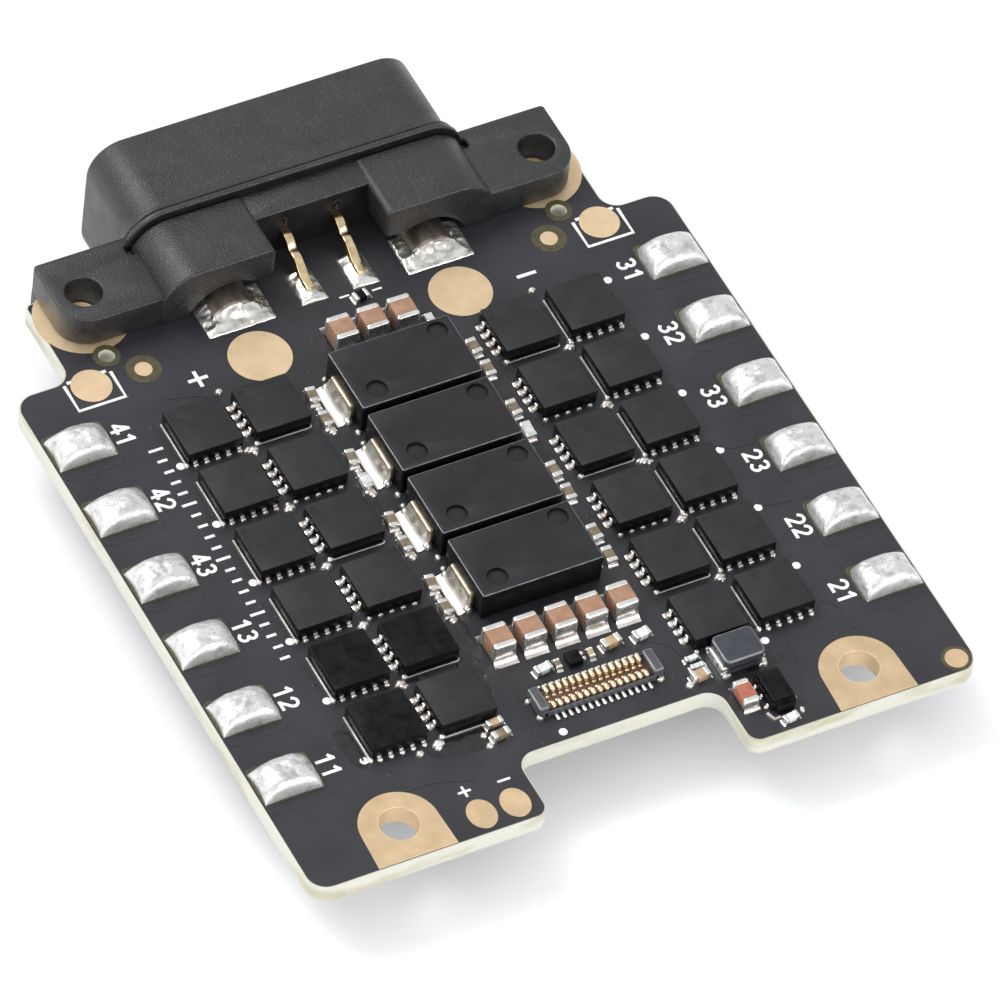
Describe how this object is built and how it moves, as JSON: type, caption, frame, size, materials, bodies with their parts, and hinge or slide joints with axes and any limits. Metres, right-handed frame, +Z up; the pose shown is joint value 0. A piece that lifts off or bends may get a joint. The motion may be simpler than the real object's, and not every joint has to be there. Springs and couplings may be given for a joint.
{
  "type": "electronic speed controller",
  "caption": "Bare speed controller board for several brushless motors, with rows of power MOSFETs, bulk capacitors, soldered edge pads and a straddling battery connector.",
  "frame": {"origin": "centre of the underside of the whole part's box, level with the bottom of the battery connector's flange and midway between the board's front edge and the socket's rim", "axes": "+Z up out of the populated face, +Y towards the battery connector, +X to the right seen from the front edge"},
  "size_m": [0.0402, 0.0492, 0.0089],
  "materials": {
    "solder_mask": "satin near-black solder mask over glass-epoxy laminate",
    "bare_laminate": "cream glass-epoxy laminate at the routed edge",
    "silkscreen": "matte white screen ink",
    "mosfet_epoxy": "matte moulded epoxy",
    "capacitor_epoxy": "satin moulded epoxy",
    "controller_epoxy": "matte moulded epoxy",
    "ceramic_brown": "fired brown ceramic",
    "ceramic_red": "fired red-brown ceramic",
    "solder": "bright, slightly rippled tin solder",
    "tin_terminal": "dull plated tin terminal",
    "gold_plate": "thin gold plating",
    "connector_plastic": "fine-grained glass-filled nylon",
    "ferrite": "slate-grey moulded ferrite"
  },
  "bodies": {
    "root": {"circuit_board": "solder_mask", "mosfet_left_outer_1": "mosfet_epoxy", "mosfet_left_outer_2": "mosfet_epoxy", "mosfet_left_outer_3": "mosfet_epoxy", "mosfet_left_outer_4": "mosfet_epoxy", "mosfet_left_outer_5": "mosfet_epoxy", "mosfet_left_outer_6": "mosfet_epoxy", "mosfet_left_inner_1": "mosfet_epoxy", "mosfet_left_inner_2": "mosfet_epoxy", "mosfet_left_inner_3": "mosfet_epoxy", "mosfet_left_inner_4": "mosfet_epoxy", "mosfet_left_inner_5": "mosfet_epoxy", "mosfet_left_inner_6": "mosfet_epoxy", "mosfet_right_inner_1": "mosfet_epoxy", "mosfet_right_inner_2": "mosfet_epoxy", "mosfet_right_inner_3": "mosfet_epoxy", "mosfet_right_inner_4": "mosfet_epoxy", "mosfet_right_inner_5": "mosfet_epoxy", "mosfet_right_inner_6": "mosfet_epoxy", "mosfet_right_outer_1": "mosfet_epoxy", "mosfet_right_outer_2": "mosfet_epoxy", "mosfet_right_outer_3": "mosfet_epoxy", "mosfet_right_outer_4": "mosfet_epoxy", "mosfet_right_outer_5": "mosfet_epoxy", "mosfet_right_outer_6": "mosfet_epoxy", "motor_solder_left_1": "solder", "motor_solder_left_2": "solder", "motor_solder_left_3": "solder", "motor_solder_left_4": "solder", "motor_solder_left_5": "solder", "motor_solder_left_6": "solder", "motor_solder_right_1": "solder", "motor_solder_right_2": "solder", "motor_solder_right_3": "solder", "motor_solder_right_4": "solder", "motor_solder_right_5": "solder", "motor_solder_right_6": "solder", "bulk_capacitor_1": "capacitor_epoxy", "bulk_capacitor_2": "capacitor_epoxy", "bulk_capacitor_3": "capacitor_epoxy", "bulk_capacitor_4": "capacitor_epoxy", "front_ceramic_capacitor_1": "ceramic_brown", "front_ceramic_capacitor_2": "ceramic_brown", "front_ceramic_capacitor_3": "ceramic_brown", "front_ceramic_capacitor_4": "ceramic_brown", "front_ceramic_capacitor_5": "ceramic_brown", "rear_ceramic_capacitor_1": "ceramic_brown", "rear_ceramic_capacitor_2": "ceramic_brown", "rear_ceramic_capacitor_3": "ceramic_brown", "input_ceramic_capacitor": "ceramic_red", "regulator_inductor": "ferrite", "regulator_ic": "controller_epoxy", "control_connector": "connector_plastic", "motor_controller_left": "controller_epoxy", "motor_controller_right": "controller_epoxy", "battery_connector_housing": "connector_plastic", "power_contact_left": "gold_plate", "signal_pin_left": "gold_plate", "power_contact_right": "gold_plate", "signal_pin_right": "gold_plate"}
  },
  "joints": []
}
